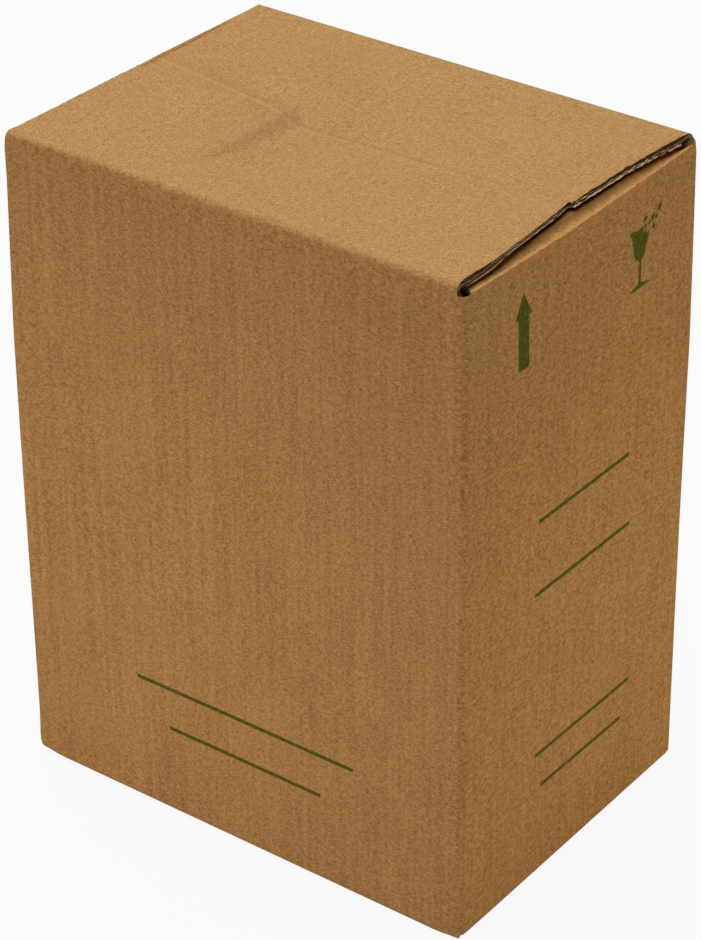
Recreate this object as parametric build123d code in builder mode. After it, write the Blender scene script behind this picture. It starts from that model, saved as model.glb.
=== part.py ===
from build123d import *
import math
import os

os.makedirs("parts", exist_ok=True)

# Outside sizes of the carton with every flap closed
carton_length = 250.0
carton_width = 175.0
carton_height = 331.0

# Single-wall corrugated board and how it is creased and slotted
board = 4.0
fold_radius = 3.0
slot_width = 10.0
flap_gap = 1.0
hinge_clearance = 0.2

# Fluting of the board, open at the cut edges of the hinged flaps
liner = 0.4
medium = 0.4
flute_pitch = 7.7
bond_width = 2.0
flute_radius = 1.0
crushed_strip = 10.0

# Glued lap that closes the sheet into a tube
lap_width = 35.0
lap_end_clearance = 6.0
lap_taper_angle = 15.0

# Partition of three slotted strips
divider_board = 2.0
divider_height = 225.0
divider_end_clearance = 0.8
divider_slot_clearance = 0.6

# Sizes that follow from the ones above
half_length = carton_length / 2
half_width = carton_width / 2
inner_length = carton_length - 2 * board
inner_width = carton_width - 2 * board
flap_depth = half_width - flap_gap / 2
long_flap_length = carton_length - slot_width
end_flap_length = carton_width - slot_width

upward = Vector(0, 0, 1)


def folded_panel(outward, wall_distance, low, high, length):
    """One wall with its lower and upper flaps folded in, bent from a single strip of board."""
    free_edge = wall_distance - flap_depth
    with BuildPart() as panel:
        with BuildSketch(Plane(origin=(0, 0, 0), x_dir=outward, z_dir=outward.cross(upward))) as section:
            with BuildLine():
                Polyline(
                    (free_edge, low),
                    (wall_distance, low),
                    (wall_distance, high),
                    (free_edge, high),
                    (free_edge, high - board),
                    (wall_distance - board, high - board),
                    (wall_distance - board, low + board),
                    (free_edge, low + board),
                    close=True,
                )
            make_face()
            fillet(section.vertices().group_by(Axis.X)[-1], fold_radius)
        extrude(amount=length / 2, both=True)
    return panel.part


# Long walls: the lower flap is the outermost layer of the bottom, the upper flap of the top
front_panel = folded_panel(Vector(0, -1, 0), half_width, 0, carton_height, long_flap_length)

# The upper flap turns on the outer corner line, and the crease is mitred through that line
front_crease = Plane(origin=(0, -half_width, carton_height), x_dir=(1, 0, 0), z_dir=(0, 1, 1))

# One gap between the fluting and the upper liner
gap_top = board / 2 - liner
gap_bottom = liner + medium - board / 2
gap_mouth = flute_pitch - bond_width
gap_root = bond_width - 2 * medium
with BuildSketch() as flute_gap:
    with BuildLine():
        Polyline(
            (-gap_mouth / 2, gap_top),
            (gap_mouth / 2, gap_top),
            (gap_root / 2, gap_bottom),
            (-gap_root / 2, gap_bottom),
            close=True,
        )
    make_face()
    fillet(flute_gap.vertices().group_by(Axis.Y)[0], flute_radius)

# Front top flap: the flutes run from its free edge to the crushed strip beside the crease
flutes_to_each_side = math.ceil(long_flap_length / flute_pitch / 2)
flap_edge = Plane(
    origin=(0, -flap_gap / 2, carton_height - board / 2),
    x_dir=(1, 0, 0),
    z_dir=(0, -1, 0),
)
with BuildPart() as front_top_flap:
    add(front_panel)
    split(bisect_by=front_crease.offset(hinge_clearance / 2), keep=Keep.TOP)
    with BuildSketch(flap_edge):
        with GridLocations(flute_pitch, 0, 2 * flutes_to_each_side + 1, 1):
            add(flute_gap.sketch)
        with GridLocations(flute_pitch, 0, 2 * flutes_to_each_side, 1):
            add(flute_gap.sketch, rotation=180)
    extrude(amount=flap_depth - crushed_strip, mode=Mode.SUBTRACT)
front_top_flap.part.label = "front_top_flap"
export_step(front_top_flap.part, "parts/front_top_flap.step")

# Rear top flap: the same flap, hinged on the opposite wall
with BuildPart() as rear_top_flap:
    mirror(front_top_flap.part, about=Plane.XZ)
rear_top_flap.part.label = "rear_top_flap"
export_step(rear_top_flap.part, "parts/rear_top_flap.step")

# Carton: one folded sheet with its four walls, bottom flaps and inner top flaps
with BuildPart() as carton:
    add(front_panel)
    split(bisect_by=front_crease.offset(-hinge_clearance / 2), keep=Keep.BOTTOM)
    mirror(about=Plane.XZ)

    # End walls: their flaps lie one board inside the long ones
    end_low = board
    end_high = carton_height - board
    add(folded_panel(Vector(1, 0, 0), half_length, end_low, end_high, end_flap_length))
    add(folded_panel(Vector(-1, 0, 0), half_length, end_low, end_high, end_flap_length))

    # Upright corner folds between the slots, with a plain cut edge at the lapped corner
    with BuildSketch(Plane.XY.offset(end_low)) as corner_folds:
        Rectangle(carton_length, carton_width)
        corners = corner_folds.vertices().sort_by_distance((-half_length, half_width, 0))
        fillet(corners[1:], fold_radius)
        Rectangle(inner_length, inner_width, mode=Mode.SUBTRACT)
        Rectangle(long_flap_length, carton_width, mode=Mode.SUBTRACT)
        Rectangle(carton_length, end_flap_length, mode=Mode.SUBTRACT)
    extrude(amount=end_high - end_low)

    # Lap glued inside the rear wall, with tapered ends
    lap_rise = lap_width * math.tan(math.radians(lap_taper_angle))
    lap_root = board - half_length
    lap_low = end_low + board + lap_end_clearance
    lap_high = end_high - board - lap_end_clearance
    with BuildSketch(Plane.XZ.offset(board - half_width)):
        with BuildLine():
            Polyline(
                (lap_root, lap_low),
                (lap_root + lap_width, lap_low + lap_rise),
                (lap_root + lap_width, lap_high - lap_rise),
                (lap_root, lap_high),
                close=True,
            )
        make_face()
    extrude(amount=board)

    # Groove where the lap's own fold curves in behind the cut edge of the rear wall
    lap_fold = (-half_length, half_width - board)
    with BuildSketch(Plane.XY.offset(end_low)):
        with BuildLine():
            curve = CenterArc((lap_fold[0] + fold_radius, lap_fold[1] - fold_radius), fold_radius, 90, 90)
            Polyline(curve @ 1, lap_fold, curve @ 0)
        make_face()
    extrude(amount=end_high - end_low, mode=Mode.SUBTRACT)
carton.part.label = "carton"
export_step(carton.part, "parts/carton.step")

# Partition: the strips stand on the bottom flaps and interlock by half-depth slots
divider_floor = 2 * board
divider_top = divider_floor + divider_height
divider_slot_width = divider_board + divider_slot_clearance
divider_slot_depth = (divider_height + divider_slot_clearance) / 2
cell_length = (inner_length - 2 * divider_board) / 3
cross_place = (cell_length + divider_board) / 2

# Long divider: slotted from its upper edge
with BuildPart() as long_divider:
    with BuildSketch(Plane.XZ):
        with Locations((0, divider_floor)):
            Rectangle(
                inner_length - 2 * divider_end_clearance,
                divider_height,
                align=(Align.CENTER, Align.MIN),
            )
        with Locations((-cross_place, divider_top), (cross_place, divider_top)):
            Rectangle(
                divider_slot_width,
                divider_slot_depth,
                align=(Align.CENTER, Align.MAX),
                mode=Mode.SUBTRACT,
            )
    extrude(amount=divider_board / 2, both=True)
long_divider.part.label = "long_divider"
export_step(long_divider.part, "parts/long_divider.step")

# Cross dividers: slotted from their lower edge, dropped over the long one
for side, place in (("left", -cross_place), ("right", cross_place)):
    with BuildPart() as cross_divider:
        with BuildSketch(Plane.YZ.offset(place)):
            with Locations((0, divider_floor)):
                Rectangle(
                    inner_width - 2 * divider_end_clearance,
                    divider_height,
                    align=(Align.CENTER, Align.MIN),
                )
                Rectangle(
                    divider_slot_width,
                    divider_slot_depth,
                    align=(Align.CENTER, Align.MIN),
                    mode=Mode.SUBTRACT,
                )
        extrude(amount=divider_board / 2, both=True)
    cross_divider.part.label = f"{side}_cross_divider"
    export_step(cross_divider.part, f"parts/{side}_cross_divider.step")
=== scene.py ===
import math

import bmesh
import bpy
import numpy as np
from mathutils import Matrix, Vector


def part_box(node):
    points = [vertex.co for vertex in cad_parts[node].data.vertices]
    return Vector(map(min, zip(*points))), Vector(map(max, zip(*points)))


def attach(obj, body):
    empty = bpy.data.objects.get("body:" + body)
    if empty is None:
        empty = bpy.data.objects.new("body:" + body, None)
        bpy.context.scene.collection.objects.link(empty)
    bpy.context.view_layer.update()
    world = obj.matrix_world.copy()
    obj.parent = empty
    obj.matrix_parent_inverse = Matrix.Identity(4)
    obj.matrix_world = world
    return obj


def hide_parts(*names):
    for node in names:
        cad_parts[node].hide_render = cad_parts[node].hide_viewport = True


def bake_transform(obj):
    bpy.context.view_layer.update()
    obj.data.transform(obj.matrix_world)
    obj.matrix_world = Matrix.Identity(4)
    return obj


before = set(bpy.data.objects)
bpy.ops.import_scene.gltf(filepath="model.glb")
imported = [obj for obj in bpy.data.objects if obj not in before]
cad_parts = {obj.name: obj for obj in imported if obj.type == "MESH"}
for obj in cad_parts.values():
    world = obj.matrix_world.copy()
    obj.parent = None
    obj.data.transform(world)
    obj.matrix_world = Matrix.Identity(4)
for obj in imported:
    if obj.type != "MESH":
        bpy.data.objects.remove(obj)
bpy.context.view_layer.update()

# Carton: one die-cut sheet of brown corrugated board, folded round four upright corners and
# glued to itself along a lap inside the rear wall. Its bottom flaps are folded shut and glued.
# The end walls fold in at the top, one board lower than the long walls.
mm = 0.001
_, carton_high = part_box("carton")
flap_low, flap_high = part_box("front_top_flap")
half_length, half_width = carton_high[0], carton_high[1]
top = flap_high[2]
board = flap_high[2] - flap_low[2]
long_half_span = flap_high[0]
slot = half_length - long_half_span
end_half_span = half_width - slot
flap_depth = half_width + flap_high[1]
fold_radius = 3 * mm
bead_radius = 0.8 * mm
fold_points = 13
mesh_step = 4.5 * mm
tuck = 0.12 * mm
tuck_length = 2 * mm
crease_reach = 8 * mm
upward = np.array([0.0, 0.0, 1.0])
lengthwise = np.array([1.0, 0.0, 0.0])
widthwise = np.array([0.0, 1.0, 0.0])


def closed_sheet(front, back, finishes=(0, 1, 2)):
    """A closed sheet between two matching grids of points, with the finishes of its front, back and rim."""
    rows, columns = front.shape[:2]
    points = np.concatenate([front.reshape(-1, 3), back.reshape(-1, 3)])
    place = np.arange(rows * columns).reshape(rows, columns)
    behind = place + rows * columns
    quads = []
    slots = []

    def add(a, b, c, d, finish):
        group = np.stack([a.ravel(), b.ravel(), c.ravel(), d.ravel()], axis=1)
        quads.append(group)
        slots.extend(np.broadcast_to(finish, a.shape).ravel().tolist())

    add(place[:-1, :-1], place[1:, :-1], place[1:, 1:], place[:-1, 1:], finishes[0])
    add(behind[:-1, :-1], behind[:-1, 1:], behind[1:, 1:], behind[1:, :-1], finishes[1])
    for edge, rear in (
        (place[0], behind[0]),
        (place[-1][::-1], behind[-1][::-1]),
        (place[::-1, 0], behind[::-1, 0]),
        (place[:, -1], behind[:, -1]),
    ):
        add(edge[:-1], edge[1:], rear[1:], rear[:-1], finishes[2])
    return points, np.concatenate(quads), slots


def make_piece(name, sheets, finishes, smooth_angle=35):
    """One object from several closed sheets."""
    mesh = bpy.data.meshes.new(name)
    points, quads, slots, first = [], [], [], 0
    for sheet_points, sheet_quads, sheet_slots in sheets:
        points.append(sheet_points)
        quads.append(sheet_quads + first)
        slots += sheet_slots
        first += len(sheet_points)
    mesh.from_pydata(np.concatenate(points).tolist(), [], np.concatenate(quads).tolist())
    for finish in finishes:
        mesh.materials.append(finish)
    mesh.polygons.foreach_set("material_index", slots)
    shape = bmesh.new()
    shape.from_mesh(mesh)
    bmesh.ops.recalc_face_normals(shape, faces=shape.faces)
    shape.to_mesh(mesh)
    shape.free()
    mesh.polygons.foreach_set("use_smooth", [True] * len(mesh.polygons))
    mesh.set_sharp_from_angle(angle=math.radians(smooth_angle))
    piece = bpy.data.objects.new(name, mesh)
    bpy.context.scene.collection.objects.link(piece)
    return piece


def quarter(centre, radius, first, count=fold_points):
    """A quarter circle in the plane of a fold, from an angle in degrees."""
    angles = np.radians(np.linspace(first, first + 90, count))
    return np.stack([centre[0] + radius * np.cos(angles), centre[1] + radius * np.sin(angles)], axis=1)


def refined(outer, inner, step=mesh_step):
    """Matching outer and inner points of a folded outline, with long runs divided."""
    pairs = np.hstack([np.vstack(outer), np.vstack(inner)])
    rows = [pairs[0]]
    for start, end in zip(pairs[:-1], pairs[1:]):
        count = max(1, math.ceil(np.linalg.norm(end[:2] - start[:2]) / step))
        rows += [start + (end - start) * k / count for k in range(1, count + 1)]
    rows = np.array(rows)
    return rows[:, :2], rows[:, 2:]


def swept(outline, outward, along, spans):
    """The outline of a folded board, carried along its creases."""
    return (
        outline[None, :, 0:1] * outward
        + outline[None, :, 1:2] * upward
        + spans[:, None, None] * along
    )


def even_spans(half_span, step=mesh_step):
    """Evenly spaced places along a crease, with one at its middle."""
    return np.linspace(-half_span, half_span, 2 * math.ceil(half_span / step) + 1)


wall_dish = 0.35 * mm
edge_wander = 0.3 * mm
calm_end = 14 * mm
lean_start = 0.70 * top
left_lean = 2.4 * mm
left_lean_places = np.array([-87.5, -60, -40, -20, -5, 35, 60, 87.5]) * mm
left_lean_shares = (1.0, 0.47, 0.21, 0.1, 0.35, 0.75, 0.95, 1.15)
right_lean = 2.0 * mm


def settled(points):
    """Board is never quite flat: the walls dish in a little, the corners wander,
    and the ends lean in at the top."""
    x, y, z = points[..., 0], points[..., 1], points[..., 2]
    calm = np.clip(np.minimum(z, top - z) / calm_end - 0.6, 0, 1)
    across = np.clip(np.cos(math.pi / 2 * np.clip(y / end_half_span, -1, 1)), 0, 1)
    along = np.clip(np.cos(math.pi / 2 * np.clip(x / long_half_span, -1, 1)), 0, 1)
    wave_end = 0.5 + 0.5 * np.sin(31 * z + 23 * y + 0.7) * np.sin(17 * z - 39 * y)
    wave_long = 0.5 + 0.5 * np.sin(27 * z - 19 * x) * np.sin(13 * z + 33 * x + 1.1)
    lean_x = 0.5 + 0.5 * np.sin(21 * z + 4 * np.sign(x) + y / half_width)
    lean_y = 0.5 + 0.5 * np.sin(17 * z + 2 * x / half_length - 3 * np.sign(y))
    near_end = np.clip((np.abs(x) - half_length + 2 * board) / board, 0, 1)
    near_long = np.clip((np.abs(y) - half_width + 2 * board) / board, 0, 1)
    rise = np.clip((z - lean_start) / (top - lean_start), 0, 1)
    right_bow = right_lean * np.clip(np.abs(y) / half_width, 0, 1) ** 2
    left_bow = left_lean * np.interp(y, left_lean_places, left_lean_shares)
    lean = np.where(x > 0, right_bow, left_bow) * rise * np.abs(x) / half_length
    moved = points.copy()
    moved[..., 0] -= np.sign(x) * near_end * calm * (wall_dish * across * wave_end + edge_wander * lean_x)
    moved[..., 0] -= np.sign(x) * lean
    moved[..., 1] -= np.sign(y) * near_long * calm * (wall_dish * along * wave_long + edge_wander * lean_y)
    return moved


class Wire:
    """An output of a shader node, which can be used in sums."""

    def __init__(self, tree, socket):
        self.tree = tree
        self.socket = socket

    def math(self, operation, *values):
        node = self.tree.nodes.new("ShaderNodeMath")
        node.operation = operation
        for socket, value in zip(node.inputs, values):
            if isinstance(value, Wire):
                self.tree.links.new(value.socket, socket)
            else:
                socket.default_value = value
        return Wire(self.tree, node.outputs[0])

    def __add__(self, other):
        return self.math("ADD", self, other)

    def __radd__(self, other):
        return self.math("ADD", other, self)

    def __sub__(self, other):
        return self.math("SUBTRACT", self, other)

    def __rsub__(self, other):
        return self.math("SUBTRACT", other, self)

    def __mul__(self, other):
        return self.math("MULTIPLY", self, other)

    def __rmul__(self, other):
        return self.math("MULTIPLY", other, self)

    def __truediv__(self, other):
        return self.math("DIVIDE", self, other)

    def size(self):
        return self.math("ABSOLUTE", self)

    def most(self, other):
        return self.math("MAXIMUM", self, other)

    def least(self, other):
        return self.math("MINIMUM", self, other)

    def sine(self):
        return self.math("SINE", self)


class Finish:
    """A material made of one shader and the nodes that feed it."""

    def __init__(self, name):
        self.material = bpy.data.materials.new(name)
        self.material.use_nodes = True
        self.tree = self.material.node_tree
        self.shader = self.tree.nodes["Principled BSDF"]

    def node(self, kind, settings, sockets, output=0):
        node = self.tree.nodes.new(kind)
        for setting, value in settings.items():
            setattr(node, setting, value)
        for socket, value in sockets.items():
            if isinstance(value, Wire):
                self.tree.links.new(value.socket, node.inputs[socket])
            else:
                node.inputs[socket].default_value = value
        return Wire(self.tree, node.outputs[output])

    def feed(self, socket, value):
        if isinstance(value, Wire):
            self.tree.links.new(value.socket, self.shader.inputs[socket])
        else:
            self.shader.inputs[socket].default_value = value

    def place(self):
        return self.node("ShaderNodeTexCoord", {}, {}, "Object")

    def axes(self, vector):
        split = self.node("ShaderNodeSeparateXYZ", {}, {"Vector": vector})
        outputs = split.socket.node.outputs
        return [Wire(self.tree, outputs[axis]) for axis in "XYZ"]

    def stretched(self, vector, factors):
        return self.node("ShaderNodeVectorMath", {"operation": "MULTIPLY"}, {0: vector, 1: factors})

    def noise(self, vector, scale, detail=2.0, roughness=0.5):
        sockets = {"Vector": vector, "Scale": scale, "Detail": detail, "Roughness": roughness}
        return self.node("ShaderNodeTexNoise", {"noise_dimensions": "3D"}, sockets, "Fac")

    def step(self, value, low, high):
        sockets = {"Value": value, "From Min": low, "From Max": high}
        return self.node("ShaderNodeMapRange", {"interpolation_type": "SMOOTHSTEP"}, sockets)

    def mixed(self, share, first, second):
        return self.node("ShaderNodeMix", {"data_type": "RGBA"}, {0: share, 6: first, 7: second}, 2)

    def bump(self, height, distance, strength=1.0):
        sockets = {"Height": height, "Distance": distance, "Strength": strength}
        return self.node("ShaderNodeBump", {}, sockets, "Normal")


flute_pitch = 7.7 * mm
kraft_pale = (0.700, 0.374, 0.133, 1)
kraft_deep = (0.270, 0.126, 0.033, 1)
fibre_dark = (0.250, 0.125, 0.045, 1)
fibre_pale = (0.690, 0.435, 0.215, 1)


def kraft_liner(name, across, draw, fleck, streak, pale=kraft_pale, deep=kraft_deep, wear_and_shade=None):
    """Unbleached kraft paper: clouded pulp, a fine fleck of long fibres,
    and the fluting faintly showing through."""
    finish = Finish(name)
    place = finish.place()
    x, y, _ = finish.axes(place)
    across_flutes = x if across == "X" else y
    cloud = finish.noise(place, 38, 3, 0.55)
    pulp = finish.noise(place, 400, 2, 0.6)
    drawn_out = finish.stretched(place, (draw, draw, 1.15))
    mottle = finish.noise(drawn_out, 920, 2, 0.65)
    grain = finish.noise(drawn_out, 2100, 1)
    streaks = finish.noise(finish.stretched(place, (440, 440, 14)), 1, 2)
    level_fibres = finish.noise(finish.stretched(drawn_out, (760, 1900, 1900)), 1, 1, 0.6)
    cross_fibres = finish.noise(finish.stretched(drawn_out, (1900, 760, 1900)), 1, 1, 0.6)
    washboard = (across_flutes * (2 * math.pi / flute_pitch)).sine()
    fibre_tone = (level_fibres - 0.5) * 0.32 + (cross_fibres - 0.5) * 0.42
    grain_tone = (pulp - 0.5) * 0.5 + (mottle - 0.5) * 1.5 + (grain - 0.5) * 1.1
    broad_tone = (cloud - 0.5) * 0.22 + (streaks - 0.5) * streak + washboard * 0.012
    tone = (grain_tone + fibre_tone) * fleck + broad_tone
    colour = finish.mixed(0.5 + tone, deep, pale)
    colour = finish.mixed(finish.step(level_fibres, 0.66, 0.78) * 0.5, colour, fibre_dark)
    colour = finish.mixed(finish.step(cross_fibres, 0.66, 0.78) * 0.5, colour, fibre_pale)
    # Marks added here are partly wear and partly painted shade and painted highlights.
    if wear_and_shade:
        colour = wear_and_shade(finish, colour, pale, deep)
    finish.feed("Base Color", colour)
    finish.feed("Roughness", 0.80 + (mottle - 0.5) * 0.22)
    finish.feed("Specular IOR Level", 0.18)
    relief = mottle * 0.5 + level_fibres * 0.35 + cross_fibres * 0.25 + washboard * 0.35
    finish.feed("Normal", finish.bump(relief, 0.10 * mm, 0.7))
    return finish.material


def cut_edge(name, edge_pale, edge_deep):
    """Raw paper fibre, as at a cut edge of the board or on its fluting: paler where it has fluffed."""
    finish = Finish(name)
    place = finish.place()
    fluff = finish.noise(place, 1500, 4, 0.75)
    layers = finish.noise(finish.stretched(place, (260, 260, 900)), 1, 2)
    share = (fluff - 0.5) * 1.6 + (layers - 0.5) * 1.1 + 0.55
    finish.feed("Base Color", finish.mixed(share, edge_deep, edge_pale))
    finish.feed("Roughness", 0.92)
    finish.feed("Specular IOR Level", 0.15)
    finish.feed("Normal", finish.bump(fluff, 0.25 * mm, 0.9))
    return finish.material


inside_pale = (0.690, 0.425, 0.205, 1)
inside_deep = (0.290, 0.160, 0.062, 1)


# Where the top of an end wall is paled along its crest, partly rubbed and partly a painted highlight.
shoulder_mark_low = 10 * mm
shoulder_mark_high = 6 * mm
crest_place = 0.9 * mm
crest_core = 0.3 * mm
crest_fade = 1.4 * mm
crest_rub_and_highlight = 0.35
# Painted shade on the shoulder and inner flap, in from the crest, where the ends of the outer flaps overhang
# them.
painted_shade_start = 1.0 * mm
painted_shade_full = 9 * mm
painted_shade_fade = 11 * mm
painted_shade_end = 30 * mm
painted_shade_strength = 0.85


def shoulder_rub_and_painted_shade(finish, colour, pale, deep):
    """At the top of an end wall the fold is paled along its crest, partly rubbed and partly a painted
    highlight, and darkened in from it by painted shade where the ends of the outer flaps overhang.
    """
    x, y, z = finish.axes(finish.place())
    from_end = half_length - x.size() - y * y * (right_lean / half_width**2)
    high = finish.step(z, top - shoulder_mark_low, top - shoulder_mark_high)
    crest = 1 - finish.step((from_end - crest_place).size(), crest_core, crest_fade)
    painted_shade = finish.step(from_end, painted_shade_start, painted_shade_full) * (1 - finish.step(from_end, painted_shade_fade, painted_shade_end))
    # Painted shade in from the crest, then the crest paled by rubbing and a painted highlight.
    colour = finish.mixed(painted_shade * high * painted_shade_strength, colour, deep)
    return finish.mixed(crest * high * crest_rub_and_highlight, colour, pale)


long_kraft = kraft_liner("kraft_of_long_panels", across="X", draw=0.6, fleck=1.05, streak=0.42)
end_kraft = kraft_liner(
    "kraft_of_end_panels", across="Y", draw=0.5, fleck=1.2, streak=0.42, wear_and_shade=shoulder_rub_and_painted_shade
)
inner_kraft = kraft_liner(
    "kraft_of_inside", across="X", draw=0.75, fleck=1.0, streak=0.3, pale=inside_pale, deep=inside_deep
)
raw_edge = cut_edge("cut_board_edge", (0.800, 0.590, 0.350, 1), (0.360, 0.220, 0.105, 1))
fluting_paper = cut_edge("fluting_paper", (0.800, 0.620, 0.400, 1), (0.360, 0.240, 0.125, 1))
board_finishes = [long_kraft, end_kraft, inner_kraft, raw_edge, fluting_paper]
LONG, END, INSIDE, EDGE, FLUTING, INNER_FLAP, FLAP = range(7)


lower_radius = 4 * mm
bulge_height = 5.5 * mm
bulge_reach = 12 * mm
front_bulge = 2.8 * mm
end_bulge = 2.3 * mm
end_lift = 2.0 * mm
lift_reach = 10 * mm


def lower_fold(wall, floor):
    """Outer and inner points of the fold from a bottom flap up into its wall."""
    outer = quarter((wall - lower_radius, floor + lower_radius), lower_radius, -90)
    inner = quarter((wall - board - bead_radius, floor + board + bead_radius), bead_radius, -90)
    return outer, inner


def splayed(points, axis, half_span, wall, bulge):
    """Panels bulge a little at the ends of their bottom folds, which nearly shuts the slots there."""
    low = np.clip((bulge_height - points[..., 2]) / (bulge_height / 2), 0, 1)
    near_fold = np.clip(1 - (wall - np.abs(points[..., 1 - axis])) / bulge_reach, 0, 1)
    points[..., axis] *= 1 + low * near_fold * bulge / half_span
    return points


def turned_up(points):
    """The ends of a long bottom fold turn up a little off the floor."""
    near_end = np.clip((np.abs(points[..., 0]) - long_half_span + lift_reach) / lift_reach, 0, 1) ** 2
    near_fold = np.clip(1 - (half_width - np.abs(points[..., 1])) / board, 0, 1)
    points[..., 2] += end_lift * near_end * near_fold * np.clip(1 - points[..., 2] / (3 * board), 0, 1)
    return points


def long_panel(outward, bulge):
    """A long wall and its bottom flap, up to the crease of its top flap."""
    low_outer, low_inner = lower_fold(half_width, 0)
    free_edge = half_width - flap_depth
    outer = [[(free_edge, 0)], low_outer, [(half_width, top - crease_reach)]]
    inner = [[(free_edge, board)], low_inner, [(half_width - board, top - crease_reach)]]
    outer, inner = refined(outer, inner)
    spans = even_spans(long_half_span)
    faces = []
    for outline in (outer, inner):
        face = splayed(swept(outline, outward, lengthwise, spans), 0, long_half_span, half_width, bulge)
        faces.append(settled(turned_up(face)))
    return closed_sheet(faces[0], faces[1], (LONG, INSIDE, EDGE))


shoulder_set_back = np.array([0, 0, 0, 0, 0.10, 0.35, 0.80, 1.35, 2.10, 3.20, 4.50, 5.90, 7.20]) * mm
shoulder_drop = np.array([9.0, 4.2, 2.6, 1.6, 0.85, 0.40, 0.25, 0.45, 0.95, 1.55, 1.75, 1.40, 0.65]) * mm
heel_set_back = np.array([5.0, 3.6, 2.70, 2.10, 1.60, 1.10, 0.65, 0.30, 0.08, 0.0]) * mm
heel_height = np.array([4.0, 4.0, 3.80, 3.55, 3.35, 3.30, 3.45, 3.85, 4.60, 6.0]) * mm
heel_rise = 1.6 * mm
heel_rise_start = 60 * mm
heel_rise_length = 140 * mm
crest_rise = 0.9 * mm
crest_rise_start = 20 * mm
crest_rise_length = 40 * mm
crest_depth = 0.6 * mm
root_cut = 5.0 * mm
root_length = 5 * mm


def end_panel(outward):
    """An end wall with its bottom inner flap and the soft shoulder where its top flap folds in."""
    floor = board
    ceiling = top - board
    heel = np.stack([half_length - heel_set_back, heel_height], axis=1)
    heel_bead = (half_length - board - bead_radius, floor + board + bead_radius)
    inside_heel = quarter(heel_bead, bead_radius, -90, len(heel))
    shoulder = np.stack([half_length - shoulder_set_back, ceiling - shoulder_drop], axis=1)
    inside = quarter((half_length - board - bead_radius, ceiling - board - bead_radius), bead_radius, 0)
    free_edge = half_length - flap_depth
    seam = half_length - crease_reach
    end = seam - tuck_length
    outer = [[(free_edge, floor)], heel, shoulder, [(seam, ceiling), (end, ceiling - tuck)]]
    inner = [
        [(free_edge, floor + board)],
        inside_heel,
        inside,
        [(seam, ceiling - board), (end, ceiling - board + tuck)],
    ]
    outer, inner = refined(outer, inner)
    spans = even_spans(end_half_span)
    faces = []
    for outline in (outer, inner):
        face = splayed(swept(outline, outward, widthwise, spans), 1, end_half_span, half_length, end_bulge)
        at_top = np.clip((face[..., 2] - ceiling + 2 * board) / board, 0, 1)
        in_from_end = np.clip((half_length - np.abs(face[..., 0]) - crest_depth) / root_length, 0, 1)
        to_rear = np.clip((face[..., 1] + crest_rise_start) / crest_rise_length, 0, 1)
        face[..., 2] += crest_rise * at_top * (1 - in_from_end) * to_rear
        face[..., 1] *= 1 - at_top * in_from_end * root_cut / end_half_span
        at_foot = np.clip(1 - (face[..., 2] - floor) / (2 * board), 0, 1)
        rearward = np.clip((face[..., 1] + heel_rise_start) / heel_rise_length, 0, 1)
        face[..., 2] += heel_rise * at_foot * rearward
        faces.append(settled(face))
    return closed_sheet(faces[0], faces[1], (END, INSIDE, EDGE))


groove_width = 0.9 * mm
groove_depth = 1.6 * mm
groove_lip = 0.2 * mm
corner_rows = 78
foot_pinch = (0.9 * mm, 0.3 * mm)
crest_pinch = 0.3 * mm
corner_lip = 3.5 * mm
corner_limits = {  # foot and crest of each corner, and the rise of the crest towards the long wall
    (1, -1): (5.2 * mm, top - 4.8 * mm, 0.0),
    (1, 1): (5.0 * mm, top - 4.0 * mm, 3.0 * mm),
    (-1, -1): (3.2 * mm, top - 3.8 * mm, 1.5 * mm),
    (-1, 1): (4.2 * mm, top - 4.4 * mm, 1.5 * mm),
}


def corner_fold(side_x, side_y, lapped):
    """An upright corner between two slots: a crease, or the cut edge of the rear wall where it is lapped."""
    corner_low, corner_high, rise = corner_limits[side_x, side_y]
    middle = (fold_points - 1) // 2
    if lapped:
        outer = [(slot, 0), (0, 0), (0, board), (groove_depth, board)]
        outer += [(groove_lip, board + groove_width), (0, slot)]
        inner = [(slot, board)] * 3 + [(board, board)] * 2 + [(board, slot)]
    else:
        arc = quarter((fold_radius, fold_radius), fold_radius, 180)[::-1]
        outer = [(slot, 0)] + arc.tolist() + [(0, slot)]
        inner = [(slot, board)] * (middle + 1) + [(board, board)] * 2 + [(board, slot)] * (middle + 1)
    outer, inner = np.array(outer), np.array(inner)
    foot = [corner_low, corner_low + bead_radius]
    upright = np.linspace(1.6 * board, corner_high - board, corner_rows)
    heights = np.concatenate([foot, upright, [corner_high]])
    pinch = np.zeros_like(heights)
    pinch[:2] = foot_pinch
    pinch[-1] = crest_pinch

    def raised(outline, crest):
        x = side_x * (half_length - outline[None, :, 0] - pinch[:, None])
        y = side_y * (half_width - outline[None, :, 1] - pinch[:, None])
        z = np.repeat(heights[:, None], len(outline), axis=1)
        z[-1] = crest
        return settled(np.stack([x, y, z], axis=2))

    outer_crest = corner_high + rise * outer[:, 0] / slot
    inner_crest = corner_high - corner_lip
    return closed_sheet(raised(outer, outer_crest), raised(inner, inner_crest), (END, INSIDE, EDGE))


lap_width = 35 * mm
lap_margin = 6 * mm
lap_slope = math.tan(math.radians(15))


def glued_lap():
    """The lap that carries on from the left end wall and is glued flat inside the rear wall."""
    reach = np.linspace(0, lap_width, 9)
    low = 2 * board + lap_margin + reach * lap_slope
    high = top - 2 * board - lap_margin - reach * lap_slope
    rise = np.linspace(0, 1, 60)
    x = np.broadcast_to(board - half_length + reach[:, None], (len(reach), len(rise)))
    z = low[:, None] + (high - low)[:, None] * rise
    seat = np.full_like(z, half_width - board)
    glued = settled(np.stack([x, seat, z], axis=2))
    shown = settled(np.stack([x, seat - board, z], axis=2))
    return closed_sheet(shown, glued, (INSIDE, INSIDE, EDGE))


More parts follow.
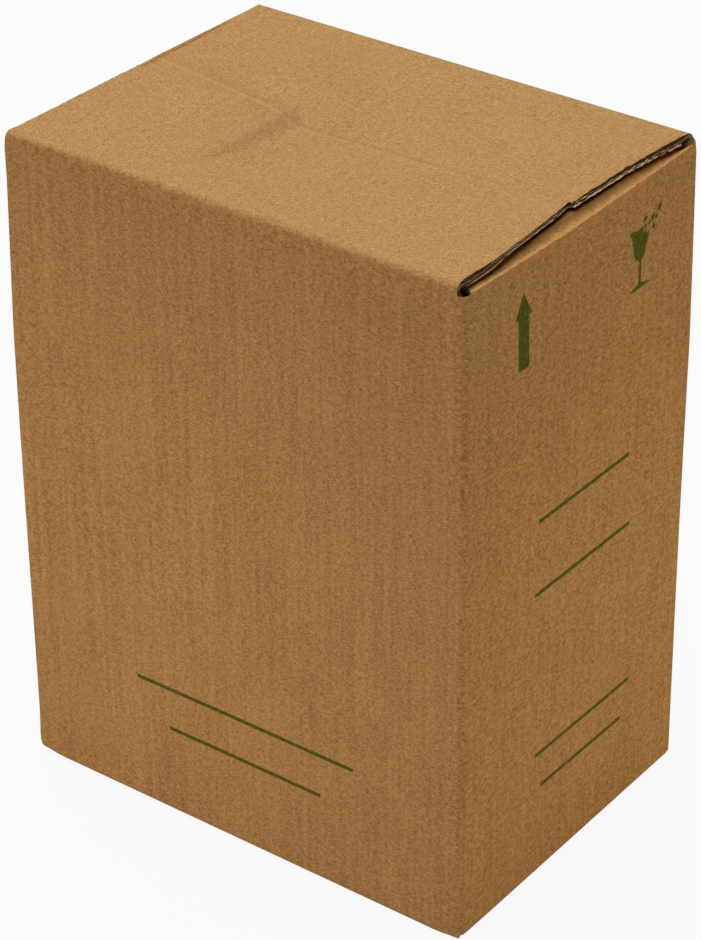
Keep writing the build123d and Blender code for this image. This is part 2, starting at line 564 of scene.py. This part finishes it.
sheets = [long_panel(-widthwise, front_bulge), long_panel(widthwise, 0.0)]
sheets += [end_panel(lengthwise), end_panel(-lengthwise), glued_lap()]
for side_x in (-1, 1):
    for side_y in (-1, 1):
        sheets.append(corner_fold(side_x, side_y, lapped=(side_x, side_y) == (-1, 1)))
carton_sheet = make_piece("carton_sheet", sheets, board_finishes)
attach(carton_sheet, "carton_body")
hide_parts("carton")

# Inner top flaps: the ends of the same sheet, folded in under the long flaps.
# The board shows its make at their cut edges: two liners with a fluted sheet glued between them.
liner = 0.35 * mm
medium = 0.30 * mm
flute_steps = 12
flute_skew = 0.05
flute_shift = 2.1 * mm
knock_reach = 12 * mm
knock_fade = 9 * mm
knock_waves = ((1.0, 1.3 * mm, 1.0), (0.8, 0.83 * mm, 2.3), (0.6, 2.6 * mm, -1.0))
knock_sum = 2.4
upper_turn, lower_turn, fluting_turn = 0.4, 2.9, 5.1
rng = np.random.default_rng(7)


def fluting_depth(u, v):
    """How deep the fluting lies in the board. It runs a little askew of the cut ends."""
    swing = (board - 2 * liner - medium) / 2
    return board / 2 + swing * np.cos(2 * math.pi * (u + flute_skew * v - flute_shift) / flute_pitch)


def knocked(u, v, half_span, turn):
    """A wave along the right cut end of a flap, which fades inwards."""
    near_end = np.clip((u - half_span + knock_reach) / knock_fade, 0, 1) ** 2
    wave = sum(height * np.sin(v / length + shift * turn) for height, length, shift in knock_waves)
    return near_end * wave / knock_sum


def fluted_flap(
    half_span, step, start, depth, trim, crush, sag, dent, ragged, fray, knock, fluting_out, liner_out
):
    """Two liners and the fluting between them, as (along the crease, from the crease, below the top)."""
    spans = even_spans(half_span, step)
    fine_spans = np.linspace(-half_span, half_span, math.ceil(2 * half_span / flute_pitch) * flute_steps + 1)
    reach = np.linspace(start, depth, math.ceil((depth - start) / (mesh_step / 3)) + 1)

    def sheet(us, upper, lower, jag, shake, turn, beyond=0.0):
        u, v = np.meshgrid(us, reach, indexing="ij")
        left, right = trim(v)
        u = np.where(u < 0, u * (1 - left / half_span), u * (1 - (right - beyond) / half_span))
        for row in (0, -1):
            u[row] -= np.sign(u[row]) * rng.normal(0, jag, len(reach))
        faces = []
        middle = (upper(u, v) + lower(u, v)) / 2 + shake * knocked(u, v, half_span, turn)
        middle = np.clip(middle, liner / 2, board - liner / 2)
        for side in (-1, 1):
            w = middle + side * (lower(u, v) - upper(u, v)) / 2
            pressed = w * crush(u, v) + sag(u, v) + dent(u, v) * (1 - w / board)
            faces.append(np.stack([u, v, pressed], axis=2))
        return faces

    return [
        sheet(spans, lambda u, v: 0 * u, lambda u, v: 0 * u + liner, ragged, knock / 2, upper_turn),
        sheet(
            spans,
            lambda u, v: 0 * u + board - liner,
            lambda u, v: 0 * u + board,
            ragged,
            knock,
            lower_turn,
            liner_out,
        ),
        sheet(
            fine_spans,
            lambda u, v: fluting_depth(u, v) - medium / 2,
            lambda u, v: fluting_depth(u, v) + medium / 2,
            fray,
            1.5 * knock,
            fluting_turn,
            fluting_out,
        ),
    ]


def lay_flap(name, layers, outward, along, wall, ceiling, finish, fitted=np.array):
    """Turns a flap's layers into a piece that lies in from its wall, fitted to it if the wall has settled."""
    sheets = []
    layer_finishes = ((finish, FLUTING, EDGE), (FLUTING, INSIDE, EDGE), (FLUTING, FLUTING, FLUTING))
    for layer, finishes in zip(layers, layer_finishes):
        grids = []
        for grid in layer:
            u, v, w = grid[..., 0:1], grid[..., 1:2], grid[..., 2:3]
            grids.append(fitted(outward * (wall - v) + along * u + upward * (ceiling - w)))
        sheets.append(closed_sheet(grids[0], grids[1], finishes))
    return make_piece(name, sheets, board_finishes)


press_mark = -31.5 * mm
press_bend = 8.5 * mm
press_length = 65 * mm
sunk_places = np.array([-21, -5, 4, 31, 44, 72, 102, 122, 136, 144]) * mm
soft_places = np.array([-50, -10, 25, 31, 44, 72, 102, 122, 136, 144]) * mm
sunk_depths = np.array([0, 1.2, 4.9, 4.6, 4.3, 3.7, 2.5, 1.6, 0.6, 0]) * mm
sharp_reach = 14 * mm


def pressed_place(y):
    """Where the edge of the left inner flap shows through the front flap. The line bends off to the left."""
    return press_mark - press_bend * np.clip(-y / press_length, 0, 2) ** 4


def sunk(x, y):
    """How far the closed top has sunk: most along the seam,
    from a sharp step at the left inner flap's edge."""
    sharp = np.interp(x - pressed_place(y), sunk_places, sunk_depths)
    soft = np.interp(x - press_mark, soft_places, sunk_depths)
    across = np.clip((half_width - np.abs(y) - crease_reach) / (half_width - crease_reach), 0, 1)
    return (soft + (sharp - soft) * np.clip(1 - y / sharp_reach, 0, 1)) * across


inner_trim = 1.2 * mm
inner_clearance = 0.2 * mm
root_taper = 45 * mm


def inner_slots(v):
    """Both sides of an inner flap are cut back at its root, and the cut tapers off."""
    cut = root_cut * np.clip(1 - (v - crease_reach) / root_taper, 0, 1)
    return cut, cut


def inner_sag(side):
    """The inner flaps have sunk with the outer ones and lie just clear of them. The left side is -1."""

    def sag(u, v):
        clear = np.clip((v - crease_reach) / crease_reach, 0, 1)
        return sunk(side * (half_length - v), u) + tuck / 4 + inner_clearance * clear

    return sag


inner_flap_kraft = kraft_liner(
    "kraft_of_inner_flaps", across="Y", draw=0.95, fleck=0.92, streak=0.0, wear_and_shade=shoulder_rub_and_painted_shade
)
board_finishes.append(inner_flap_kraft)
for name, outward in (("left_inner_flap", -lengthwise), ("right_inner_flap", lengthwise)):
    layers = fluted_flap(
        half_span=end_half_span - inner_trim,
        step=mesh_step,
        start=crease_reach,
        depth=flap_depth,
        trim=inner_slots,
        crush=lambda u, v: 1 + 0 * u,
        sag=inner_sag(outward[0]),
        dent=lambda u, v: 0 * u,
        ragged=0.08 * mm,
        fray=0.12 * mm,
        knock=0.0,
        fluting_out=0.0,
        liner_out=0.0,
    )
    flap = lay_flap(name, layers, outward, widthwise, half_length, top - board, INNER_FLAP, settled)
    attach(flap, "carton_body")

# Outer top flaps: they close the box from its long walls and meet along the middle.
# Each is board of the same sheet, pressed thin along its crease and bruised at its cut ends.
seam_gap = 0.03 * mm
outer_depth = half_width - seam_gap / 2
flap_step = 1.6 * mm
press_depth = 0.4 * mm
press_width = 4.6 * mm
rear_mark = -36 * mm
rear_mark_lean = -6.9
turned_start = (106 * mm, 78 * mm)
turned_reach = (10 * mm, 9 * mm)
turned_depth = 0.35 * mm
lie_below = 0.02 * mm


def bell(distance, width):
    return np.exp(-((distance / width) ** 2))


def front_sag(u, v):
    """The front flap has sunk, and its right corner at the seam is turned down."""
    to_seam = np.clip((v - turned_start[1]) / turned_reach[1], 0, 1)
    corner = to_seam * np.clip((u - turned_start[0]) / turned_reach[0], 0, 1)
    return sunk(u, v - half_width) + turned_depth * corner**2 + lie_below


dent_start = 12 * mm
dent_fade = 60 * mm


def front_dent(u, v):
    """The mark of the inner flap's edge, pressed into the outer liner. It fades towards the crease."""
    fading = np.clip((v - dent_start) / dent_fade, 0, 1)
    return press_depth * fading * bell(u - pressed_place(v - half_width), press_width)


# Strengths of the painted shade and painted highlights on the top, and of the darkening in front of the mark.
line_strength = 0.22
rear_mark_strength = 0.17
front_mark_strength = 0.08
seam_strength = 0.24
mark_highlight = 0.22
seam_highlight = 0.16


def pressed_lines(finish, colour, pale, deep):
    """Painted shade darkens the pressed line, deepening its dent, and the rear flap behind the mark on the
    left and the seam, where the front flap's raised edge shades it;
    the front flap is a little darker just in front of that mark, and painted highlights pale its lit rim just
    in front of that mark and the seam."""
    x, y, _ = finish.axes(finish.place())
    share = (0 - y / press_length).most(0.0)
    off_line = (x - press_mark + share * share * share * share * press_bend).size()
    along_line = finish.step(y, -90 * mm, -10 * mm) * (1 - finish.step(y, 3 * mm, 10 * mm))
    left = 1 - finish.step(x, press_mark - 6 * mm, press_mark + 3 * mm)
    # Painted shade along the pressed line, deepening the dent's own shading.
    line_shade = (1 - finish.step(off_line, 0.0, 1.4 * press_width)) * along_line * line_strength
    off_mark = y + ((rear_mark - x) / rear_mark_lean).least(0.0)
    behind_mark = finish.step(off_mark, 0.0, 0.8 * mm) * (1 - finish.step(off_mark, 0.5 * mm, 11 * mm))
    # Painted shadow cast on the rear flap by the front flap's raised edge, behind the mark.
    rear_shade = behind_mark * left * rear_mark_strength
    near_mark = 1 - finish.step(0 - off_mark, 0.0, 20 * mm)
    # Darker just in front of the mark.
    front_of_mark_darkening = near_mark * (1 - finish.step(off_mark, -0.4 * mm, 0.0)) * left * front_mark_strength
    right = (1 - left) * (1 - finish.step(x, 20 * mm, 95 * mm) * 0.8)
    # Painted shadow cast on the rear flap by the front flap's raised edge along the seam.
    seam_shade = (1 - finish.step((y - 0.8 * mm).size(), 0.2 * mm, 2.6 * mm)) * right * seam_strength
    colour = finish.mixed(line_shade.most(rear_shade + front_of_mark_darkening).most(seam_shade), colour, deep)
    # Painted highlights on the lit rim of the front flap's edge.
    rim_highlight = (1 - finish.step((off_mark + 0.6 * mm).size(), 0.4 * mm, 1.6 * mm)) * left * mark_highlight
    seam_rim_highlight = (1 - finish.step((y + 1.4 * mm).size(), 0.4 * mm, 1.8 * mm)) * right * seam_highlight
    return finish.mixed(rim_highlight + seam_rim_highlight, colour, pale)


bruise_depth = 0.15 * mm
bruise_width = 14 * mm
dent_past_seam = 9 * mm


def rear_sag(u, v):
    """The rear flap has sunk, and is bruised along a line to its left end."""
    from_crease = np.clip((v - 2 * crease_reach) / (4 * crease_reach), 0, 1)
    line = rear_mark + rear_mark_lean * (outer_depth - v)
    bruise = bruise_depth * from_crease * bell(u - line, bruise_width)
    return sunk(u, half_width - v) + bruise + lie_below


def rear_dent(u, v):
    """The pressed line runs a little way on past the seam."""
    return press_depth * bell(outer_depth - v, dent_past_seam) * bell(u - press_mark, press_width)


front_crush_reach = 14 * mm
rear_crush_reach = 13 * mm
crush_fade = 9 * mm
front_crush_start = 18 * mm
front_crush_rise = 22 * mm
front_crush_share = 0.55
rear_crush_places = np.array([10, 30, 50, 75])
rear_crush_shares = (0.1, 0.34, 0.44, 0.52)


def front_crush(u, v):
    """The front flap's right end is pinched flat from its middle to the seam."""
    end = np.clip((u - long_half_span + front_crush_reach) / crush_fade, 0, 1)
    middle = np.clip((v - front_crush_start) / front_crush_rise, 0, 1)
    return 1 - front_crush_share * end * middle


def rear_crush(u, v):
    """The rear flap's right end is pressed thin, most of all towards the seam."""
    end = np.clip((u - long_half_span + rear_crush_reach) / crush_fade, 0, 1)
    return 1 - end * np.interp(v / mm, rear_crush_places, rear_crush_shares)


front_slot_places = (0, 10, 26, 77, 86)
front_slot_cuts = (2.0, 1.9, 1.3, 4.6, 6.0)
rear_slot_taper = 40 * mm


def front_trim(v):
    """The slots taper, so the flap is a little narrower at its free edge."""
    left = (0.6 + 1.1 * v / outer_depth) * mm
    right = np.interp(v / mm, front_slot_places, front_slot_cuts) * mm
    return left, right


def rear_trim(v):
    """The rear flap's slots taper within the first part of its depth."""
    widening = np.clip((v - crease_reach) / rear_slot_taper, 0, 1)
    return (3.2 + 2.0 * widening) * mm, (2.2 + 2.4 * widening) * mm


crease_board = 1.9 * mm
crease_step = 0.7 * mm
crease_columns = 54
crease_smooth_angle = 60


def crease_strip(name, outward, fold_ends, flap_ends):
    """The creased strip between a long wall and its flap: board pressed thin at the bend."""
    wall_end = top - crease_reach
    flap_end = half_width - crease_reach
    bend = (half_width - fold_radius, top - fold_radius)
    outer = [
        [(half_width - tuck, wall_end - tuck_length), (half_width, wall_end)],
        quarter(bend, fold_radius, 0),
        [(flap_end, top), (flap_end - tuck_length, top - tuck)],
    ]
    inner = [
        [(half_width - board + tuck, wall_end - tuck_length), (half_width - board, wall_end)],
        quarter(bend, fold_radius - crease_board, 0),
        [(flap_end, top - board), (flap_end - tuck_length, top - board + tuck)],
    ]
    outer, inner = refined(outer, inner, crease_step)
    onto_flap = np.clip((half_width - outer[:, 0]) / crease_reach, 0, 1)
    below_bend = np.clip((top - fold_radius - outer[:, 1]) / (crease_reach - fold_radius), 0, 1)
    ends = []
    for fold_x, flap_x, wall_x in zip(fold_ends, flap_ends, (-long_half_span, long_half_span)):
        end = fold_x + (flap_x - fold_x) * onto_flap
        ends.append(end + (wall_x - end) * below_bend)

    def layer(shares, upper, lower, finishes):
        x = ends[0] + (ends[1] - ends[0]) * shares[:, None]
        sides = [outline[:, :1] * outward + outline[:, 1:] * upward for outline in (outer, inner)]
        faces = []
        for depth in (upper(x), lower(x)):
            through = sides[0] + (sides[1] - sides[0]) * (depth / board)[..., None]
            faces.append(through + x[..., None] * lengthwise)
        return closed_sheet(faces[0], faces[1], finishes)

    middles = (outer[:-1] + outer[1:]) / 2
    outer_finish = np.where(half_width - middles[:, 0] > top - middles[:, 1], FLAP, LONG)
    shares = np.linspace(0, 1, crease_columns)
    fine_shares = np.linspace(0, 1, math.ceil(2 * long_half_span / flute_pitch) * flute_steps + 1)
    sheets = [
        layer(shares, lambda x: 0 * x, lambda x: 0 * x + liner, (outer_finish, FLUTING, EDGE)),
        layer(shares, lambda x: 0 * x + board - liner, lambda x: 0 * x + board, (FLUTING, INSIDE, EDGE)),
        layer(
            fine_shares,
            lambda x: fluting_depth(x, crease_reach) - medium / 2,
            lambda x: fluting_depth(x, crease_reach) + medium / 2,
            (FLUTING, FLUTING, FLUTING),
        ),
    ]
    strip = make_piece(name, sheets, board_finishes, crease_smooth_angle)
    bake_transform(strip)


# The outer flaps' kraft is a little paler and less orange than the walls': painted sheen of the top, seen at
# a glancing angle.
flap_pale_with_sheen = (0.700, 0.395, 0.158, 1)
flap_deep_with_sheen = (0.270, 0.133, 0.040, 1)
flap_kraft = kraft_liner(
    "kraft_of_outer_flaps",
    across="X",
    draw=0.95,
    fleck=0.92,
    streak=0.0,
    pale=flap_pale_with_sheen,
    deep=flap_deep_with_sheen,
    wear_and_shade=pressed_lines,
)
board_finishes.append(flap_kraft)
front_fold_ends = (-120.2 * mm, 119.4 * mm)
rear_fold_ends = (-117.2 * mm, 119.8 * mm)
front_shape = {
    "trim": front_trim,
    "crush": front_crush,
    "sag": front_sag,
    "dent": front_dent,
    "ragged": 0.12 * mm,
    "fray": 0.25 * mm,
    "knock": 0.35 * mm,
    "fluting_out": 0.4 * mm,
    "liner_out": 0.7 * mm,
}
rear_shape = {
    "trim": rear_trim,
    "crush": rear_crush,
    "sag": rear_sag,
    "dent": rear_dent,
    "ragged": 0.20 * mm,
    "fray": 0.40 * mm,
    "knock": 0.7 * mm,
    "fluting_out": 0.8 * mm,
    "liner_out": 1.4 * mm,
}
for side, outward, shape, fold_ends in (
    ("front", -widthwise, front_shape, front_fold_ends),
    ("rear", widthwise, rear_shape, rear_fold_ends),
):
    layers = fluted_flap(long_half_span, flap_step, crease_reach, outer_depth, **shape)
    flap = lay_flap(f"{side}_flap_board", layers, outward, lengthwise, half_width, top, FLAP)
    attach(flap, f"{side}_flap")
    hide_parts(f"{side}_top_flap")
    left_trim, right_trim = (edge.item() for edge in shape["trim"](np.array([crease_reach])))
    flap_ends = (left_trim - long_half_span, long_half_span - right_trim)
    crease_strip(f"{side}_crease", outward, fold_ends, flap_ends)

# Partition: three strips of solid fibreboard that slot into each other and stand loose in the box.
# They are plain cut strips, so the solids of the frame are kept and given a finish.
solid_pale = (0.430, 0.300, 0.180, 1)
solid_deep = (0.300, 0.200, 0.115, 1)


def solid_board(name):
    """Grey-brown recycled board: speckled with scraps of fibre, slightly smooth from the press."""
    finish = Finish(name)
    place = finish.place()
    cloud = finish.noise(place, 60, 3, 0.6)
    speck = finish.noise(place, 1100, 3, 0.75)
    scraps = finish.noise(finish.stretched(place, (500, 500, 1800)), 1, 2, 0.6)
    share = 0.5 + (cloud - 0.5) * 0.6 + (speck - 0.5) * 1.4
    colour = finish.mixed(share, solid_deep, solid_pale)
    colour = finish.mixed(finish.step(scraps, 0.66, 0.74) * 0.5, colour, fibre_dark)
    finish.feed("Base Color", colour)
    finish.feed("Roughness", 0.72 + (speck - 0.5) * 0.2)
    finish.feed("Specular IOR Level", 0.3)
    finish.feed("Normal", finish.bump(speck * 0.6 + scraps * 0.4, 0.12 * mm, 0.7))
    return finish.material


divider_finish = solid_board("solid_fibreboard")
for node in ("long_divider", "left_cross_divider", "right_cross_divider"):
    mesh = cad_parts[node].data
    mesh.materials.clear()
    mesh.materials.append(divider_finish)

# Printed marks: one pass of dark green ink on the right end wall and the front wall.
# An upright arrow and a broken glass are the handling signs of any carton.
# Plain rules are printed below them and low on the front wall.
ink_depth = 0.05 * mm
ink_grid = 4 * mm
ink_green = (0.076, 0.088, 0.005, 1)
ink_thin = (0.190, 0.160, 0.024, 1)


def print_ink(name):
    """Water-based ink soaked into kraft: nearly flat, with pinholes and thin spots where the paper shows."""
    finish = Finish(name)
    place = finish.place()
    lay = finish.noise(place, 620, 3, 0.7)
    pinholes = finish.noise(place, 1700, 2, 0.6)
    colour = finish.mixed(finish.step(lay, 0.42, 0.70) * 0.9, ink_green, ink_thin)
    colour = finish.mixed(finish.step(pinholes, 0.66, 0.78) * 0.6, colour, kraft_deep)
    finish.feed("Base Color", colour)
    finish.feed("Roughness", 0.78 + (lay - 0.5) * 0.2)
    finish.feed("Specular IOR Level", 0.08)
    finish.feed("Normal", finish.bump(pinholes, 0.08 * mm, 0.6))
    return finish.material


green_ink = print_ink("green_print_ink")


def printed(name, outlines, place_on_wall, outward):
    """Flat shapes of ink that lie on a wall and follow its face. Outlines are (across, up) points."""
    shape = bmesh.new()
    for outline in outlines:
        shape.faces.new([shape.verts.new((across, 0, up)) for across, up in outline])
    for axis in (Vector((1, 0, 0)), Vector((0, 0, 1))):
        marks = [v.co.dot(axis) for v in shape.verts]
        cuts = np.arange(math.floor(min(marks) / ink_grid), math.ceil(max(marks) / ink_grid)) * ink_grid
        for cut in cuts:
            parts = shape.verts[:] + shape.edges[:] + shape.faces[:]
            bmesh.ops.bisect_plane(shape, geom=parts, plane_co=axis * cut, plane_no=axis, dist=1e-6)
    bmesh.ops.triangulate(shape, faces=shape.faces[:])
    raised = bmesh.ops.extrude_face_region(shape, geom=shape.faces[:])
    proud = {part for part in raised["geom"] if isinstance(part, bmesh.types.BMVert)}
    shape.verts.ensure_lookup_table()
    flat = np.array([v.co for v in shape.verts])
    on_wall = settled(place_on_wall(flat[:, 0], flat[:, 2]))
    for vert, point in zip(shape.verts, on_wall):
        vert.co = Vector(point) + Vector(outward) * (ink_depth if vert in proud else -ink_depth)
    bmesh.ops.recalc_face_normals(shape, faces=shape.faces)
    mesh = bpy.data.meshes.new(name)
    shape.to_mesh(mesh)
    shape.free()
    mesh.materials.append(green_ink)
    piece = bpy.data.objects.new(name, mesh)
    bpy.context.scene.collection.objects.link(piece)
    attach(piece, "carton_body")


def on_end_wall(across, up):
    return np.stack([np.full_like(across, half_length), across, up], axis=1)


def on_front_wall(across, up):
    return np.stack([across, np.full_like(across, -half_width), up], axis=1)


arrow_place = -46.1 * mm
arrow_lean = -0.035
arrow_tip = top - 18.9 * mm
arrow_height = 36.3 * mm
arrow_head_width = 11.9 * mm
arrow_head_height = 11.6 * mm
arrow_shaft = 7.5 * mm
barb = arrow_tip - arrow_head_height
arrow = [
    (arrow_place, arrow_tip),
    (arrow_place - arrow_head_width / 2, barb),
    (arrow_place - arrow_shaft / 2, barb),
    (arrow_place - arrow_shaft / 2, arrow_tip - arrow_height),
    (arrow_place + arrow_shaft / 2, arrow_tip - arrow_height),
    (arrow_place + arrow_shaft / 2, barb),
    (arrow_place + arrow_head_width / 2, barb),
]
arrow_foot = arrow_tip - arrow_height
arrow = [(across + arrow_lean * (up - arrow_foot), up) for across, up in arrow]
printed("up_arrow_mark", [arrow], on_end_wall, lengthwise)

glass_place = 41.0 * mm
glass_foot = top - 54.8 * mm
foot_and_stem = [(-6.7, 0), (6.9, 0), (7.2, 0.9), (2.0, 2.2), (0.9, 3.4), (0.8, 13.2)]
right_of_bowl = [(2.6, 15.0), (4.6, 19.8), (6.8, 26.4)]
broken_rim = [(4.9, 24.2), (3.6, 27.4), (2.2, 25.2), (0.9, 29.6)]
broken_rim += [(-2.6, 28.6), (-5.0, 29.2), (-9.4, 29.8), (-8.6, 27.6)]
left_of_bowl = [(-7.3, 26.8), (-5.9, 20.6), (-4.4, 15.6), (-2.0, 13.9)]
back_to_foot = [(-0.8, 13.2), (-0.9, 3.4), (-2.0, 2.2), (-6.9, 0.9)]
glass_outline = foot_and_stem + right_of_bowl + broken_rim + left_of_bowl + back_to_foot
glass = [(glass_place + across * mm, glass_foot + up * mm) for across, up in glass_outline]
shard_size = 2.1 * mm
shard_places = [
    (3.1, 28.6, 0.8, 30),
    (2.6, 32.2, 1.2, 15),
    (6.2, 29.0, 0.8, 80),
    (9.6, 25.9, 1.1, 100),
    (8.8, 30.6, 1.2, 55),
    (11.8, 29.9, 0.8, 20),
    (14.0, 33.4, 1.4, 60),
]
shards = []
for across, up, scale, turn in shard_places:
    angles = np.radians(turn + np.array([0, 100, 205, 290]))
    reach = shard_size * scale * np.array([1.0, 0.55, 0.85, 0.6])
    centre = (glass_place + across * mm, glass_foot + up * mm)
    shards.append([(centre[0] + r * math.cos(t), centre[1] + r * math.sin(t)) for r, t in zip(reach, angles)])
printed("broken_glass_mark", [glass] + shards, on_end_wall, lengthwise)

rule_thickness = 2.0 * mm


def rules(lines):
    """Plain printed rules: each line is (middle, width, height above the floor)."""
    half = rule_thickness / 2
    return [
        [(x - w / 2, up - half), (x + w / 2, up - half), (x + w / 2, up + half), (x - w / 2, up + half)]
        for x, w, up in lines
    ]


front_rules = [(3.4 * mm, 125 * mm, 70.5 * mm), (3.4 * mm, 88 * mm, 48.3 * mm)]
end_rules = [
    (3.5 * mm, 70.5 * mm, top - 136.5 * mm),
    (4.0 * mm, 74.5 * mm, top - 173.6 * mm),
    (7.8 * mm, 77.0 * mm, top - 260.8 * mm),
    (7.4 * mm, 65.0 * mm, top - 279.5 * mm),
]
printed("front_rules", rules(front_rules), on_front_wall, -widthwise)
printed("end_rules", rules(end_rules), on_end_wall, lengthwise)

# Studio: a seamless sheet of pale paper under the box, lit by one large soft lamp from above.
# Two small lamps fill the near walls and a weak one stands behind.
# The camera looks down on the corner between the front wall and the right end.
floor_size = 8.0
floor_drop = 0.2 * mm
glow_share = 0.93
floor_mesh = bpy.data.meshes.new("studio_floor")
corners = [
    (-floor_size, -floor_size, 0),
    (floor_size, -floor_size, 0),
    (floor_size, floor_size, 0),
    (-floor_size, floor_size, 0),
]
floor_mesh.from_pydata(corners, [], [(0, 1, 2, 3)])
floor = bpy.data.objects.new("studio_floor", floor_mesh)
floor.location.z = -floor_drop
bpy.context.scene.collection.objects.link(floor)
paper = Finish("studio_paper")
paper.feed("Base Color", (0.62, 0.62, 0.62, 1))
paper.feed("Roughness", 0.9)
glow = paper.node("ShaderNodeEmission", {}, {"Color": (1, 1, 1, 1), "Strength": 1.0})
rays = ("Is Camera Ray", "Is Glossy Ray", "Is Transmission Ray")
camera_ray, glossy_ray, clear_ray = (paper.node("ShaderNodeLightPath", {}, {}, ray) for ray in rays)
seen = camera_ray + glossy_ray + clear_ray
matt = Wire(paper.tree, paper.shader.outputs[0])
blend = paper.node("ShaderNodeMixShader", {}, {0: seen * glow_share, 1: matt, 2: glow})
paper.tree.links.new(blend.socket, paper.tree.nodes["Material Output"].inputs["Surface"])
floor_mesh.materials.append(paper.material)

world = bpy.data.worlds.new("studio")
bpy.context.scene.world = world
world.use_nodes = True
world.node_tree.nodes["Background"].inputs["Color"].default_value = (1.0, 0.95, 0.88, 1)
world.node_tree.nodes["Background"].inputs["Strength"].default_value = 0.02


def soft_lamp(name, azimuth, elevation, distance, size, power, colour):
    """A square soft box aimed at the middle of the carton."""
    lamp = bpy.data.lights.new(name, "AREA")
    lamp.size = size
    lamp.energy = power
    lamp.color = colour
    holder = bpy.data.objects.new(name, lamp)
    a, e = math.radians(azimuth), math.radians(elevation)
    away = Vector((math.sin(a) * math.cos(e), -math.cos(a) * math.cos(e), math.sin(e)))
    holder.location = Vector((0, 0, top / 2)) + away * distance
    holder.rotation_euler = away.to_track_quat("Z", "Y").to_euler()
    holder.visible_camera = False
    bpy.context.scene.collection.objects.link(holder)


soft_lamp("overhead", -70, 80, 2.2, 2.2, 53.6, (1.0, 1.0, 0.95))
soft_lamp("front_fill", -8, -8, 0.65, 0.14, 0.97, (1.0, 0.91, 0.84))
soft_lamp("side_fill", 97, -8, 0.65, 0.14, 0.97, (1.0, 0.89, 0.62))
soft_lamp("rear_fill", 205, 30, 2.6, 1.6, 6.0, (1.0, 0.95, 0.88))

photo_height = 940
photo_focal = 3314.4
sensor = 36.0
camera_azimuth = math.radians(37.222)
camera_elevation = math.radians(31.224)
camera_roll = math.radians(-0.44)
camera_distance = 1515.8 * mm
aim = Vector((1.08 * mm, -2.11 * mm, 161.64 * mm))
turn = (
    Matrix.Rotation(camera_azimuth, 3, "Z")
    @ Matrix.Rotation(math.pi / 2 - camera_elevation, 3, "X")
    @ Matrix.Rotation(camera_roll, 3, "Z")
)
lens = bpy.data.cameras.new("photo_camera")
lens.sensor_width = sensor
lens.lens = photo_focal * sensor / photo_height
lens.clip_start = 0.05
camera = bpy.data.objects.new("photo_camera", lens)
camera.location = aim + turn @ Vector((0, 0, camera_distance))
camera.rotation_euler = turn.to_euler()
bpy.context.scene.collection.objects.link(camera)
bpy.context.scene.camera = camera
bpy.context.scene.view_settings.view_transform = "Standard"
